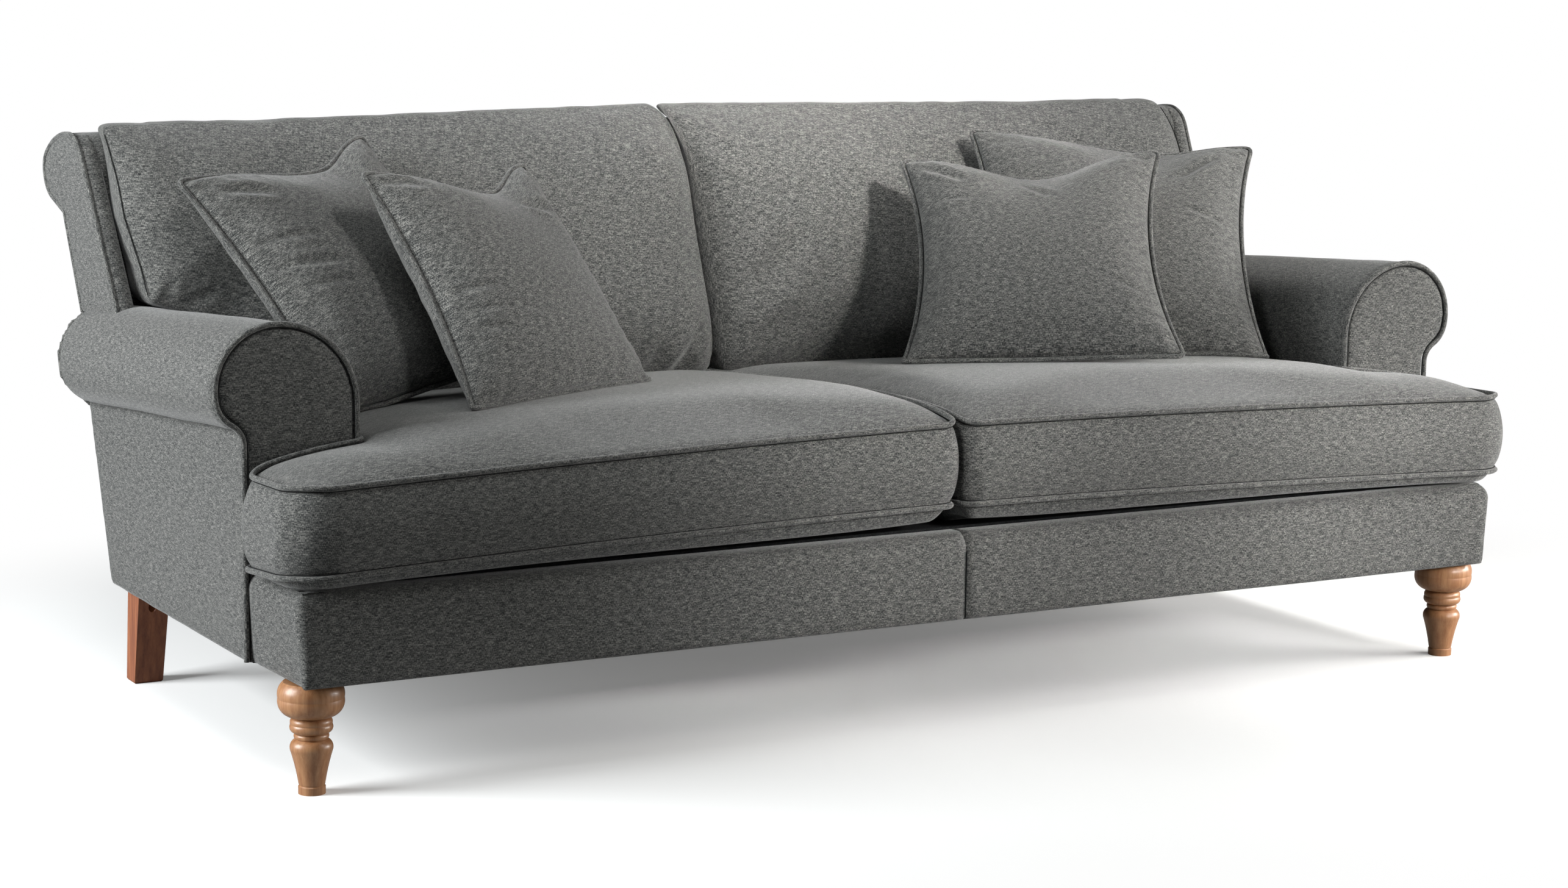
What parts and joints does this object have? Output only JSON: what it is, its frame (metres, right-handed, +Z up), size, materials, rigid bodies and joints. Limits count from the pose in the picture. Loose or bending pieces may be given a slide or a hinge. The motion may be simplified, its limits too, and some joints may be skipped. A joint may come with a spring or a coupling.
{
  "type": "sofa",
  "caption": "Scroll-arm sofa in grey woven fabric with loose seat, back and scatter cushions on turned wooden front legs",
  "frame": {"origin": "middle of the footprint on the floor, under the cushions", "axes": "+X to the right seen from the front, +Y to the back, +Z up; the front faces -Y"},
  "size_m": [2.256, 1.1824, 0.9062],
  "materials": {
    "grey_weave": "cross-slubbed linen-look weave with self piping",
    "foam": "cushion filling",
    "turned_beech": "satin lacquer",
    "stained_beech": "satin stain",
    "frame_timber": "sawn",
    "plywood": "sawn",
    "spring_steel": "drawn wire and zinc plate",
    "felt": "needled felt",
    "webbing": "elastic webbing",
    "lining": "lining cloth"
  },
  "bodies": {
    "frame": {"arm_boards_left": "plywood", "arm_boards_right": "plywood", "arm_facing_left": "grey_weave", "arm_facing_piping_left": "grey_weave", "arm_facing_piping_right": "grey_weave", "arm_facing_right": "grey_weave", "arm_rails_left": "frame_timber", "arm_rails_right": "frame_timber", "arm_scroll_pad_left": "grey_weave", "arm_scroll_pad_right": "grey_weave", "arm_side_panel_left": "grey_weave", "arm_side_panel_right": "grey_weave", "back_end_boards": "plywood", "back_facing_left": "grey_weave", "back_facing_piping_left": "grey_weave", "back_facing_piping_right": "grey_weave", "back_facing_right": "grey_weave", "back_inside_pad": "grey_weave", "back_leg_left": "stained_beech", "back_leg_right": "stained_beech", "back_outside_panel": "grey_weave", "back_posts": "frame_timber", "back_scroll_formers": "plywood", "back_scroll_pad": "grey_weave", "back_top_rail": "frame_timber", "back_webbing": "webbing", "base_cover_left": "grey_weave", "base_cover_right": "grey_weave", "centre_stretchers": "frame_timber", "corner_blocks": "frame_timber", "dust_cover": "lining", "front_leg_left": "turned_beech", "front_leg_right": "turned_beech", "front_rail": "frame_timber", "leg_bolts": "spring_steel", "leg_nuts": "spring_steel", "leg_screws": "spring_steel", "rear_leg_blocks": "frame_timber", "rear_rail": "frame_timber", "return_rails": "frame_timber", "seat_deck": "lining", "seat_side_rails": "frame_timber", "seat_springs": "spring_steel", "spring_clips": "spring_steel", "spring_felt": "felt", "spring_tie_wires": "spring_steel"},
    "seat_cushion_left": {"seat_cushion_core_left": "foam", "seat_cushion_cover_left": "grey_weave"},
    "back_cushion_left": {"back_cushion_core_left": "foam", "back_cushion_cover_left": "grey_weave"},
    "scatter_rear_left": {"scatter_rear_left": "grey_weave"},
    "scatter_front_left": {"scatter_front_left": "grey_weave"},
    "seat_cushion_right": {"seat_cushion_core_right": "foam", "seat_cushion_cover_right": "grey_weave"},
    "back_cushion_right": {"back_cushion_core_right": "foam", "back_cushion_cover_right": "grey_weave"},
    "scatter_rear_right": {"scatter_rear_right": "grey_weave"},
    "scatter_front_right": {"scatter_front_right": "grey_weave"}
  },
  "joints": [
    {"name": "lift_seat_cushion_left", "type": "slide", "parent": "frame", "child": "seat_cushion_left", "axis": [0, 0, 1], "range_m": [0, 0.3]},
    {"name": "lift_back_cushion_left", "type": "slide", "parent": "seat_cushion_left", "child": "back_cushion_left", "axis": [0, 0, 1], "range_m": [0, 0.3]},
    {"name": "lift_scatter_rear_left", "type": "slide", "parent": "back_cushion_left", "child": "scatter_rear_left", "axis": [0, 0, 1], "range_m": [0, 0.3]},
    {"name": "lift_scatter_front_left", "type": "slide", "parent": "scatter_rear_left", "child": "scatter_front_left", "axis": [0, 0, 1], "range_m": [0, 0.3]},
    {"name": "lift_seat_cushion_right", "type": "slide", "parent": "frame", "child": "seat_cushion_right", "axis": [0, 0, 1], "range_m": [0, 0.3]},
    {"name": "lift_back_cushion_right", "type": "slide", "parent": "seat_cushion_right", "child": "back_cushion_right", "axis": [0, 0, 1], "range_m": [0, 0.3]},
    {"name": "lift_scatter_rear_right", "type": "slide", "parent": "back_cushion_right", "child": "scatter_rear_right", "axis": [0, 0, 1], "range_m": [0, 0.3]},
    {"name": "lift_scatter_front_right", "type": "slide", "parent": "scatter_rear_right", "child": "scatter_front_right", "axis": [0, 0, 1], "range_m": [0, 0.3]}
  ]
}
